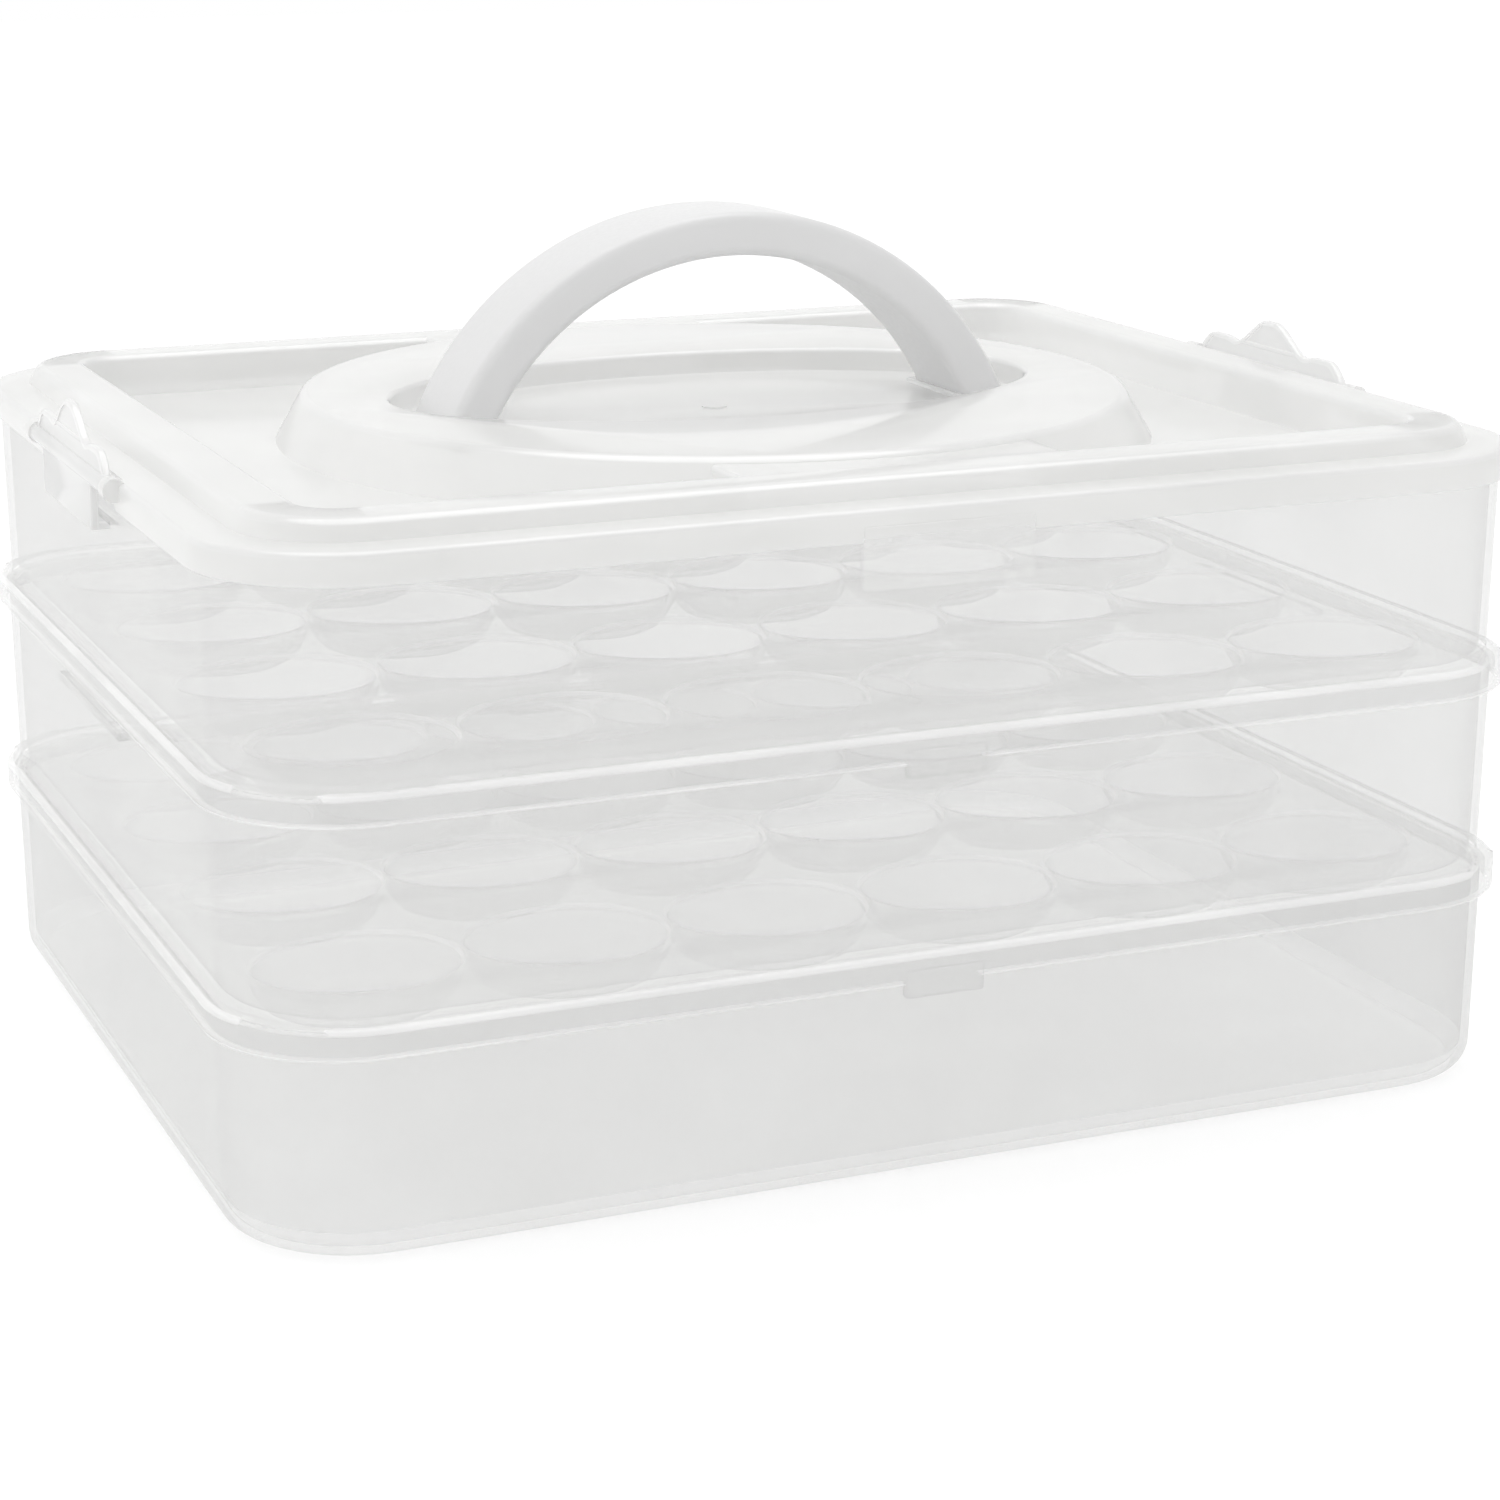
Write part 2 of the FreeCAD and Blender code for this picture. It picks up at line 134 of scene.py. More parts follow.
# %% [markdown]
# Faces and edges are told apart by where they lie. Two tests look at a height, and two look at
# the plan: how far a point is from the carrier's rounded outline is simple to work out, and it
# separates the inside of a wall from its outside.

# %% Tests for places
def level(z, tolerance=0.02 * mm):
    """A test for faces that lie flat at one height."""
    return lambda centre, normal: abs(centre.z - z) < tolerance and abs(normal.z) > 0.9


def both_at(z, tolerance=0.02 * mm):
    """A test for edges that lie at one height."""
    return lambda a, b: abs(a.z - z) < tolerance and abs(b.z - z) < tolerance


def outline_distance(point):
    """How far a point lies outside the carrier's plan outline."""
    over_x = abs(point.x) - (half_length - corner_radius)
    over_y = abs(point.y) - (half_width - corner_radius)
    if over_x > 0 and over_y > 0:
        return math.hypot(over_x, over_y) - corner_radius
    return max(over_x, over_y) - corner_radius


def on_outline(a, b, grow, tolerance=0.6 * mm):
    """True for an edge along the plan outline grown by a margin."""
    return all(abs(outline_distance(p) - grow) < tolerance for p in (a, b))


# %% [markdown]
# Each piece has three finish slots: its walls, its rounded edges, which get a painted highlight,
# and its floor, which is painted paler as if lit from above. The real finishes come much later, so
# place-holders fill the slots until then. Empty slots would do for one mesh, but a join of two
# meshes merges empty slots into one and loses the marks.

# %% Finish slots and rounded edges
wall_slot, edge_highlight_slot, floor_slot = 0, 1, 2
place_holders = [bpy.data.materials.new(part) for part in ("walls", "edges", "floors")]


def take(name, scale=(1, 1, 1)):
    """Names and stretches the new primitive, fills its slots and puts its place in its mesh."""
    piece = bpy.context.object
    piece.name = name
    for place_holder in place_holders:
        piece.data.materials.append(place_holder)
    piece.scale = scale
    bpy.ops.object.transform_apply(location=True, rotation=True, scale=True)
    return piece


def mark(piece, slot, test):
    """Puts the faces that pass a test in one finish slot, in edit mode."""
    found = pick(piece, "FACE", test)
    piece.active_material_index = slot
    bpy.ops.object.material_slot_assign()
    return found


def mark_all(piece, slot):
    """Puts every face of a piece in one finish slot."""
    edit(piece)
    mark(piece, slot, lambda centre, normal: True)
    return close(piece)


def round_edges(piece, test, radius, steps, slot=-1):
    """Rounds the edges that pass a test, and can put the rounding in a finish slot."""
    pick(piece, "EDGE", test)
    bpy.ops.mesh.bevel(offset=radius, segments=steps, affect="EDGES", material=slot)


# %% [markdown]
# Every box-like piece starts as a flat plate with round corners. At the end its doubles are
# merged and its faces turned outward, because a join or a cut only works on a closed mesh that
# knows its inside. Smooth shading stops at sharp angles, so that moulded edges stay crisp.

# %% First and last steps of a piece
def rounded_plate(name, half_x, half_y, radius, z):
    """A flat plate with round corners, open in edit mode with all of it picked."""
    bpy.ops.mesh.primitive_plane_add(size=1, location=(0, 0, z))
    piece = take(name, (2 * half_x, 2 * half_y, 1))
    edit(piece)
    pick_all()
    bpy.ops.mesh.bevel(offset=radius, offset_type="OFFSET", segments=corner_steps,
                       affect="VERTICES")
    pick_all()
    return piece


def outward(piece):
    """Merges doubles and turns every face of a closed mesh outward."""
    edit(piece)
    bpy.ops.mesh.select_mode(type="FACE")
    pick_all()
    bpy.ops.mesh.remove_doubles(threshold=0.002 * mm)
    pick_all()
    bpy.ops.mesh.normals_make_consistent(inside=False)
    return close(piece)


def smooth(piece, angle=40):
    """Shades a piece smoothly up to an angle in degrees."""
    choose(piece)
    bpy.ops.object.shade_smooth_by_angle(angle=math.radians(angle))
    return piece


def count(piece):
    """Prints how many faces a piece has and where it lies."""
    corners = [v.co for v in piece.data.vertices]
    low, high = ([round(end(c[i] for c in corners) / mm, 1) for i in range(3)]
                 for end in (min, max))
    print(piece.name, len(piece.data.polygons), "faces", low, high)


# %% [markdown]
# The base box is the deep bottom tier. It could be a solid block with its inside cut out, but
# drawing it from its rim keeps every ring of points in line, so the corners stay smooth. The
# walls are pulled down with their lean, and the lower edge turns over a six millimetre radius.
# The inside is the rim's face set in by the wall and pushed down to the floor. The rounding
# along the foot goes in the edge slot, which paints a highlight band on it, paler than the wall
# above it, and the inside floor goes in the floor slot, painted pale as if lit.

# %% Base box
foot_radius = 6 * mm
foot_reach = 6.6 * mm
inner_foot_radius = 4.2 * mm


def on_foot(centre, normal):
    """True for the faces of the lower rounding that look outward."""
    in_band = 0.3 * mm < centre.z < foot_radius and outline_distance(centre) > -foot_reach
    looks_out = outline_distance(centre + normal * mm) > outline_distance(centre)
    return in_band and abs(normal.z) < 0.97 and looks_out


def base_box():
    """The plain deep box with its rounded lower edge."""
    piece = rounded_plate("base_box_moulding", half_length, half_width, corner_radius, base_rim)
    pull(-base_rim, lean_x, lean_y)
    round_edges(piece, both_at(0.0), foot_radius, 8)
    pick(piece, "FACE", level(base_rim))
    bpy.ops.mesh.inset(thickness=wall)
    pull(-(base_rim - ledge_thickness), lean_x, lean_y)
    round_edges(piece, both_at(ledge_thickness), inner_foot_radius, 6)
    round_edges(piece, both_at(base_rim), rim_rounding, 3, edge_highlight_slot)
    # The floor is painted pale as if lit, and the foot rounding carries a painted highlight.
    mark(piece, floor_slot, lambda centre, normal: centre.z < 2.5 * mm and abs(normal.z) > 0.9)
    mark(piece, edge_highlight_slot, on_foot)
    outward(piece)
    return smooth(piece, 35)


base_moulding = base_box()
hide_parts("base_box")
count(base_moulding)

# %% [markdown]
# Tabs, slots, arms and ribs are all short bars, joined to a piece or cut out of it. A bar's own
# edges are rounded before it is joined: a bevel after the join would have to find its way round
# every corner where the two meshes meet, and there it tears.

# %% Bars, joins and cuts
def apply_modifier(piece, kind, **values):
    """Adds one modifier with its values and applies it at once."""
    choose(piece)
    modifier = piece.modifiers.new(kind.lower(), kind)
    for key, value in values.items():
        setattr(modifier, key, value)
    bpy.ops.object.modifier_apply(modifier=modifier.name)
    return piece


def with_tool(piece, tool, operation):
    """Applies a tool solid to a piece and removes the tool."""
    apply_modifier(piece, "BOOLEAN", object=tool, operation=operation, solver="EXACT")
    bpy.data.objects.remove(tool)
    return piece


def join(piece, tool):
    """Joins a solid to a piece."""
    return with_tool(piece, tool, "UNION")


def cut(piece, tool):
    """Cuts a solid out of a piece."""
    return with_tool(piece, tool, "DIFFERENCE")


def bar(x, y, z, edge=0.0, slot=edge_highlight_slot):
    """A square bar between two limits each way, with rounded edges if asked."""
    bpy.ops.mesh.primitive_cube_add(size=1, location=[(a + b) / 2 for a, b in (x, y, z)])
    piece = take("bar", [b - a for a, b in (x, y, z)])
    if edge > 0:
        # The rounding goes in the given slot, by default the edge slot with its painted highlight.
        apply_modifier(piece, "BEVEL", width=edge, segments=3, limit_method="ANGLE", material=slot)
    return piece


def across(half):
    """Limits that lie evenly about the middle."""
    return (-half, half)


def on_side(side, near, far):
    """Limits on the plus side, or mirrored on the minus side."""
    return sorted((side * near, side * far))


def lift_tab(side, half, skirt_low, drop):
    """A thumb tab under the middle of a skirt, at the front or at the back."""
    y = on_side(side, half_width + skirt_gap, half_width + skirt_proud + 0.9 * mm)
    return bar(across(half), y, (skirt_low - drop, skirt_low + 3.5 * mm), 0.5 * mm, wall_slot)


# %% [markdown]
# A tray is the same kind of box with three changes: it has no deep part, its floor carries a
# ledge and a skirt that hang over the tier below, and egg hollows are sunk into the floor. The
# body comes first, in one run of pulls from the rim to the skirt's underside, with its floor
# left as one flat face above and one below. A low catch on each side holds a latch's hook.

# %% Tray body
tray_tab_half = 9 * mm
tray_tab_drop = 2.6 * mm
skirt_rounding = 0.7 * mm
floor_rounding = 2.0 * mm
catch_half = 30 * mm
catch_proud = 2.3 * mm


def tray_body(name, rim_below):
    """A tray's wall, ledge and skirt around a flat floor."""
    rim = rim_below + tier_pitch
    floor = rim_below + ledge_thickness
    skirt_low = rim_below - skirt_drop
    piece = rounded_plate(name, half_length, half_width, corner_radius, rim)
    pull(floor - rim, lean_x, lean_y)
    grow_x = (half_length + skirt_proud) / (half_length - lean)
    grow_y = (half_width + skirt_proud) / (half_width - lean)
    pull(0.0, grow_x, grow_y)
    pull(-ledge_thickness - skirt_drop)
    bpy.ops.mesh.inset(thickness=skirt_proud - skirt_gap)
    pull(skirt_drop)
    pick(piece, "FACE", level(rim))
    bpy.ops.mesh.inset(thickness=wall)
    pull(floor - rim, lean_x, lean_y)
    at_floor = both_at(floor)
    # The skirt, ledge and rim roundings go in the edge slot, with its painted highlight.
    round_edges(piece, both_at(skirt_low), skirt_rounding, 3, edge_highlight_slot)
    round_edges(piece, lambda a, b: at_floor(a, b) and on_outline(a, b, skirt_proud),
                ledge_rounding, 4, edge_highlight_slot)
    round_edges(piece, both_at(rim), rim_rounding, 3, edge_highlight_slot)
    round_edges(piece, lambda a, b: at_floor(a, b) and on_outline(a, b, -lean - wall),
                floor_rounding, 3)
    close(piece)
    for side in (-1, 1):
        join(piece, lift_tab(side, tray_tab_half, skirt_low, tray_tab_drop))
        catch_x = on_side(side, half_length - wall / 2, half_length + catch_proud)
        catch_z = (rim - 9.1 * mm, rim - 6.9 * mm)
        join(piece, bar(catch_x, across(catch_half), catch_z, 0.5 * mm, wall_slot))
    return piece


# %% [markdown]
# One egg hollow is modelled once, as a solid in the shape of the bowl. A circle is stretched on
# its left half into an egg and drawn down step by step, narrower each time, to a flat bottom.
# An array lays six by four of them side by side. A slightly larger set is joined to the floor
# and the set itself is cut out of it, which leaves thin bowls with an even wall, and the rim of
# each bowl turns over softly into the floor. Each step below gives how far the bowl stands
# outside the egg's outline and how high it is, in millimetres.

# %% Egg hollows
hollow_columns, hollow_rows = 6, 4
hollow_pitch_x = 46.5 * mm
hollow_pitch_y = 57 * mm
hollow_half_width = 19 * mm
hollow_nose = 25 * mm
hollow_half_length = (hollow_half_width + hollow_nose) / 2
lip_depth = 0.7 * mm
bowl_above = ((1.4, 0.6), (0.9, 0.0), (0.35, -0.25), (0.0, -0.8), (-0.9, -3.2), (-2.2, -5.6),
              (-4.0, -7.6), (-6.2, -8.7), (-9.0, -9.0))
bowl_below = ((1.3, 0.0), (1.2, -0.1), (0.5, -2.8), (-0.95, -5.5), (-3.0, -7.8), (-5.75, -9.2),
              (-8.9, -9.6))


def pull_steps(steps, half_x, half_y):
    """Draws an outline through steps of margin and height."""
    for (grow_a, z_a), (grow_b, z_b) in zip(steps, steps[1:]):
        pull((z_b - z_a) * mm, (half_x + grow_b * mm) / (half_x + grow_a * mm),
             (half_y + grow_b * mm) / (half_y + grow_a * mm))


def hollow_set(name, z, bowl):
    """Six by four egg-shaped solids that reach down from a height."""
    bpy.ops.mesh.primitive_circle_add(vertices=56, radius=hollow_half_width, location=(0, 0, 0))
    piece = take(name)
    edit(piece)
    pick(piece, "VERT", lambda p: p.x < -0.01 * mm)
    bpy.ops.transform.resize(value=(hollow_nose / hollow_half_width, 1, 1),
                             center_override=(0, 0, 0))
    pick_all()
    grow, height = bowl[0][0] * mm, bowl[0][1] * mm
    bpy.ops.transform.translate(value=(hollow_nose - hollow_half_length, 0, height))
    stretch_x = (hollow_half_length + grow) / hollow_half_length
    stretch_y = (hollow_half_width + grow) / hollow_half_width
    bpy.ops.transform.resize(value=(stretch_x, stretch_y, 1), center_override=(0, 0, 0))
    bpy.ops.mesh.edge_face_add()
    pull_steps(bowl, hollow_half_length, hollow_half_width)
    # The bowls go in the floor slot, painted pale as if lit, and their lips in the edge slot, with
    # a painted highlight.
    mark(piece, floor_slot, lambda centre, normal: centre.z < -lip_depth)
    mark(piece, edge_highlight_slot, lambda centre, normal: -lip_depth < centre.z < 0)
    pick_all()
    bpy.ops.mesh.normals_make_consistent(inside=False)
    first_x = -(hollow_columns - 1) / 2 * hollow_pitch_x
    first_y = -(hollow_rows - 1) / 2 * hollow_pitch_y
    bpy.ops.transform.translate(value=(first_x, first_y, z))
    for step, number in (((hollow_pitch_x, 0, 0), hollow_columns),
                         ((0, hollow_pitch_y, 0), hollow_rows)):
        apply_modifier(piece, "ARRAY", count=number, use_relative_offset=False,
                       use_constant_offset=True, constant_offset_displace=step)
    return piece


# %% [markdown]
# The bowls are joined from the middle of the floor's thickness, not from its faces, because
# faces that lie in one plane confuse a join. The two trays are the same moulding, so the upper
# one is a copy with its own mesh, moved up by one tier.

# %% The two trays
def middle_face(z):
    """A test for the one large flat face of the tray's floor at a height."""
    flat = level(z)
    return lambda centre, normal: (flat(centre, normal)
                                   and abs(centre.x) < mm and abs(centre.y) < mm)


def egg_tray(name, rim_below):
    """A whole tray: the body, with thin egg bowls let into its floor."""
    body = tray_body(name, rim_below)
    floor = rim_below + ledge_thickness
    edit(body)
    # The floor's flat faces go in the floor slot, painted pale as if lit.
    found = sum(mark(body, floor_slot, middle_face(z)) for z in (floor, rim_below))
    close(body)
    print(name, "floor faces", found)
    join(body, hollow_set("bowls_below", floor - ledge_thickness / 2, bowl_below))
    cut(body, hollow_set("bowls_above", floor, bowl_above))
    outward(body)
    return smooth(body)


def own_copy(source, name):
    """A copy with its own mesh, open in edit mode with all of it picked."""
    copy = source.copy()
    copy.data = source.data.copy()
    copy.name = name
    bpy.context.collection.objects.link(copy)
    edit(copy)
    pick_all()
    return copy


lower_moulding = egg_tray("egg_tray_lower_moulding", base_rim)
upper_moulding = own_copy(lower_moulding, "egg_tray_upper_moulding")
bpy.ops.transform.translate(value=(0, 0, tier_pitch))
close(upper_moulding)
for moulding, node in ((lower_moulding, "egg_tray_lower"), (upper_moulding, "egg_tray_upper")):
    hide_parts(node)
    count(moulding)

# %% [markdown]
# The lid is one sheet of plastic that runs up over a ridge, down into a sunk panel and up again
# onto a round island with an oval recess for the handle. It could be one surface thickened by a
# modifier, but that pinches in the tight bends. It is made as the difference of two filled
# forms, the upper face of the sheet and its lower face, so its thickness stays even. The
# recess is drawn first, upward from its floor, in the same kind of steps as the bowls.

# %% Lid sizes and recess
sheet = 1.6 * mm
ridge_inset = 9.5 * mm
ridge_slope = 2 * mm
ridge_height = 4.5 * mm
ridge_width = 11.5 * mm
ridge_rounding = 1.7 * mm
ridge_top = ledge_top + ridge_height
panel_drop = 9.9 * mm
panel_slope = 3 * mm
island_radius = 97 * mm
island_slope = 6 * mm
island_rounding = 1.5 * mm
island_top = ridge_top + 1.4 * mm
recess_floor = island_top - 5.9 * mm
recess_half_length = 78.5 * mm
recess_half_width = 46.5 * mm
recess_above = ((-1.6, 0.0), (-0.5, 0.4), (0.0, 1.3), (0.3, 4.7), (0.5, 5.3), (1.0, 5.75),
                (1.7, 5.97), (1.9, 9.0))
recess_below = ((1.6, 0.0), (2.1, 8.0))
recess_rim = 4.8 * mm


def recess_form(set_in):
    """The oval form that sinks the recess, with a soft rim on the upper face."""
    steps = recess_above if set_in == 0 else recess_below
    bpy.ops.mesh.primitive_circle_add(vertices=128, radius=1, fill_type="NGON",
                                      location=(0, 0, recess_floor - set_in))
    first = steps[0][0] * mm
    piece = take("recess", (recess_half_length + first, recess_half_width + first, 1))
    edit(piece)
    pick_all()
    pull_steps(steps, recess_half_length, recess_half_width)
    if set_in == 0:
        # The recess rim goes in the edge slot, with its painted highlight.
        mark(piece, edge_highlight_slot, lambda centre, normal: centre.z > recess_floor + recess_rim)
    close(piece)
    return outward(piece)


# %% [markdown]
# Both forms of the lid come from one function. The second one is set in by the sheet's
# thickness and carries no roundings, because nobody sees the underside's edges. The island and
# the low bridge between the panels start a little above the form's lower face, and the bridge
# ends a hair below the ridge, so that no two faces lie in one plane when they are joined.

# %% Lid form
bridge_half = 38 * mm
bridge_reach = half_width - 15 * mm
bridge_rounding = 1.2 * mm
start_above = 0.8 * mm
hair = 0.06 * mm


def lid_form(name, set_in):
    """The filled form under the lid's upper face, or under its lower face when set in."""
    grow = skirt_proud if set_in == 0 else skirt_gap
    low = top_rim - skirt_drop - 3 * set_in
    ledge = ledge_top if set_in == 0 else top_rim
    piece = rounded_plate(name, half_length + grow, half_width + grow, corner_radius + grow, low)
    pull(ledge - low)
    bpy.ops.mesh.inset(thickness=ridge_inset + set_in - (skirt_proud - grow))
    bpy.ops.mesh.inset(thickness=ridge_slope, depth=ridge_top - set_in - ledge)
    bpy.ops.mesh.inset(thickness=ridge_width - 2 * set_in)
    bpy.ops.mesh.inset(thickness=panel_slope, depth=-panel_drop)
    if set_in == 0:
        at_ledge = both_at(ledge_top)
        # The ridge and ledge roundings go in the edge slot, with its painted highlight.
        round_edges(piece, both_at(ridge_top), ridge_rounding, 6, edge_highlight_slot)
        round_edges(piece, lambda a, b: at_ledge(a, b) and on_outline(a, b, skirt_proud),
                    ledge_rounding, 4, edge_highlight_slot)
    close(piece)
    outward(piece)
    tall = island_top - set_in - low
    slope = island_slope * tall / (island_top - (ridge_top - panel_drop))
    low += start_above
    tall -= start_above
    bpy.ops.mesh.primitive_cone_add(vertices=128, radius1=island_radius - set_in + slope,
                                    radius2=island_radius - set_in, depth=tall,
                                    location=(0, 0, low + tall / 2))
    island = take("island")
    if set_in == 0:
        edit(island)
        # The island's rounding goes in the edge slot, with its painted highlight.
        round_edges(island, both_at(island_top), island_rounding, 6, edge_highlight_slot)
        close(island)
    bridge = bar(across(bridge_half - set_in), across(bridge_reach),
                 (low, ridge_top - set_in - hair), bridge_rounding if set_in == 0 else 0.0)
    join(piece, island)
    join(piece, bridge)
    return cut(piece, recess_form(set_in))


# %% [markdown]
# On each side the skirt has a bay for a latch, with an eye at both ends of it and a bore for
# the latch's pins. Front and back carry a wide lift tab. Each foot of the handle drops into a
# low collar in the recess, and its tongue goes through a slot there. The small round mark in
# the middle is where the plastic enters the mould.

# %% Lid
pivot_x = half_length + skirt_proud + 0.85 * mm
pivot_z = ledge_top - 1.5 * mm
bay = 36 * mm
eye_length = 4.5 * mm
eye_radius = 2.6 * mm
bore_radius = 1.25 * mm
lid_tab_half = 19.5 * mm
lid_tab_drop = 10 * mm


def cylinder_along_y(radius, y, x, z, vertices=32):
    """A round bar along Y, for pins, eyes and bores."""
    bpy.ops.mesh.primitive_cylinder_add(vertices=vertices, radius=radius, depth=y[1] - y[0],
                                        location=(x, (y[0] + y[1]) / 2, z),
                                        rotation=(math.radians(90), 0, 0))
    return take("pin")


def foot_collar(side):
    """The low raised frame in the recess that one foot of the handle drops into."""
    collar = bar(on_side(side, 57.9 * mm, 72.6 * mm), across(15.8 * mm),
                 (recess_floor - 0.4 * mm, recess_floor + 1.1 * mm), 0.3 * mm)
    hole = bar(on_side(side, 59.3 * mm, 71.2 * mm), across(14.4 * mm),
               (recess_floor - mm, recess_floor + 2 * mm))
    # The whole collar goes in the edge slot, so it carries a painted highlight.
    return mark_all(cut(collar, hole), edge_highlight_slot)


def gate_mark():
    """The low round mark in the middle of the recess."""
    bpy.ops.mesh.primitive_cylinder_add(vertices=32, radius=3 * mm, depth=0.9 * mm,
                                        location=(0, 0, recess_floor - 0.15 * mm))
    return take("gate_mark")


def lid():
    """The whole lid with its lift tabs, latch eyes and slots."""
    piece = lid_form("lid_moulding", 0)
    cut(piece, lid_form("lid_under", sheet))
    low = top_rim - skirt_drop
    edit(piece)
    # The skirt's lower rounding goes in the edge slot, with its painted highlight.
    round_edges(piece, both_at(low), rim_rounding, 3, edge_highlight_slot)
    close(piece)
    for side in (-1, 1):
        # The lift tabs take the floor finish, nearly clear and painted pale.
        join(piece, mark_all(lift_tab(side, lid_tab_half, low, lid_tab_drop), floor_slot))
        bay_x = on_side(side, half_length + 0.17 * mm, pivot_x + 3 * mm)
        cut(piece, bar(bay_x, across(bay), (low - 3 * mm, ledge_top + 3 * mm)))
        for start in (bay, -bay - eye_length):
            eye_y = (start, start + eye_length)
            join(piece, cylinder_along_y(eye_radius, eye_y, side * pivot_x, pivot_z))
        cut(piece, cylinder_along_y(bore_radius, across(bay + 4 * mm), side * pivot_x, pivot_z))
        slot_x = on_side(side, 61.8 * mm, 67.1 * mm)
        cut(piece, bar(slot_x, across(8.3 * mm), (recess_floor - 3 * mm, recess_floor + mm)))
        join(piece, foot_collar(side))
    join(piece, gate_mark())
    outward(piece)
    return smooth(piece)


lid_moulding = lid()
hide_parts("lid")
count(lid_moulding)

# %% [markdown]
# The handle is a wide flat band bent into an arch. A curve with a flat profile would make it
# too, but a spin gives exact ends to cut: its cross-section is a rectangle with rounded
# corners, and the spin about the arch's centre carries it round. The ends are then cut level
# with the recess floor, and a snap tongue with a barb goes under each foot.

# %% Handle
handle_radius = 76.6 * mm
handle_thick = 10.2 * mm
handle_half = 14 * mm
handle_rise = 47.5 * mm
handle_centre = recess_floor + handle_rise - handle_radius
tongue_half = 8 * mm


def handle():
    """The arched band with its two snap tongues."""
    middle = handle_radius - handle_thick / 2
    bpy.ops.mesh.primitive_plane_add(size=1, location=(middle, 0, handle_centre))
    piece = take("carry_handle_band", (handle_thick, 2 * handle_half, 1))
    edit(piece)
    pick_all()
    bpy.ops.mesh.bevel(offset=2.4 * mm, segments=6, affect="VERTICES")
    pick_all()
    bpy.ops.mesh.spin(steps=72, angle=math.radians(180), center=(0, 0, handle_centre),
                      axis=(0, 1, 0))
    pick_all()
    bpy.ops.mesh.normals_make_consistent(inside=False)
    close(piece)
    edit(piece)
    pick_all()
    bpy.ops.mesh.bisect(plane_co=(0, 0, recess_floor), plane_no=(0, 0, 1), use_fill=True,
                        clear_inner=True)
    close(piece)
    outward(piece)
    for side in (-1, 1):
        tongue_z = (recess_floor - 5.4 * mm, recess_floor + mm)
        barb_z = recess_floor - 4.1 * mm
        join(piece, bar(on_side(side, 63.8 * mm, 66.8 * mm), across(tongue_half), tongue_z,
                        0.3 * mm))
        join(piece, bar(on_side(side, 66 * mm, 67.9 * mm), across(tongue_half),
                        (barb_z, barb_z + 2.2 * mm), 0.4 * mm))
    outward(piece)
    return smooth(piece)


handle_band = handle()
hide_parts("carry_handle")
count(handle_band)

# %% [markdown]
# A side latch has a thin grip with a soft three-lobed outline. Proportional editing draws it:
# the top edge of a flat strip is taken hold of in the middle, at its ends and between them, and
# pulled up or down, and the points around follow. The lower edge is hidden meanwhile, because
# it would follow as well. The same strip, set in a little, also serves to sink the grip's faces.

# %% Latch grip
grip_length = 69 * mm
grip_columns = 92


def grip_strip(name, set_in, x_low, x_high, edge):
    """A strip with the grip's three-lobed top edge, between two limits along X."""
    low, high = pivot_z - 1.9 * mm + set_in, pivot_z + 6.1 * mm - set_in
    bpy.ops.mesh.primitive_grid_add(x_subdivisions=1, y_subdivisions=grip_columns, size=1,
                                    location=(0, 0, 0))
    bpy.context.object.rotation_euler = (0, math.radians(-90), 0)
    bpy.context.object.location = (x_low, 0, (low + high) / 2)
    piece = take(name, (high - low, grip_length - 2 * set_in, 1))
    edit(piece)
    pick(piece, "VERT", lambda p: p.z < low + 0.1 * mm)
    bpy.ops.mesh.hide(unselected=False)
    end = (grip_length / 2 - set_in) / mm
    # Place along Y, half of the width taken hold of, rise and reach, all in millimetres.
    lifts = (
        (0, 2, 7.0, 15.5, "SMOOTH"),
        (-end, 0.5, -4.6, 6.5, "SHARP"), (end, 0.5, -4.6, 6.5, "SHARP"),
        (-24, 3, 0.8, 6, "SMOOTH"), (24, 3, 0.8, 6, "SMOOTH"),
    )
    for y, half, rise, reach, falloff in lifts:
        pick(piece, "VERT", lambda p: p.z > low + 3 * mm and abs(p.y - y * mm) < half * mm)
        bpy.ops.transform.translate(value=(0, 0, rise * mm), use_proportional_edit=True,
                                    proportional_edit_falloff=falloff,
                                    proportional_size=reach * mm)
    bpy.ops.mesh.reveal()
    pick_all()
    thickness = {"value": (x_high - x_low, 0, 0)}
    bpy.ops.mesh.extrude_region_move(TRANSFORM_OT_translate=thickness)
    if edge > 0:
        bpy.ops.mesh.select_mode(type="EDGE")
        bpy.ops.mesh.select_all(action="DESELECT")
        bpy.ops.mesh.edges_select_sharp(sharpness=math.radians(80))
        # The grip's rounded edges go in the edge slot, with its painted highlight.
        bpy.ops.mesh.bevel(offset=edge, segments=3, affect="EDGES", material=edge_highlight_slot)
    close(piece)
    return outward(piece)


# %% [markdown]
# The grip's two faces are sunk, which leaves a raised border, and a short rib runs across the
# middle. The latch rocks on an axle with a thin pin at each end. Below it an arm ends in a
# hook, which grips under the catch on the upper tray. The latch is made once, for the right
# side, and its mesh is copied and mirrored. Mirroring turns a mesh inside out, so the copy's
# faces are turned outward again.

# %% Side latches
half_grip = 0.9 * mm
border = 1.2 * mm
sunk = 0.35 * mm
arm_half = 24 * mm


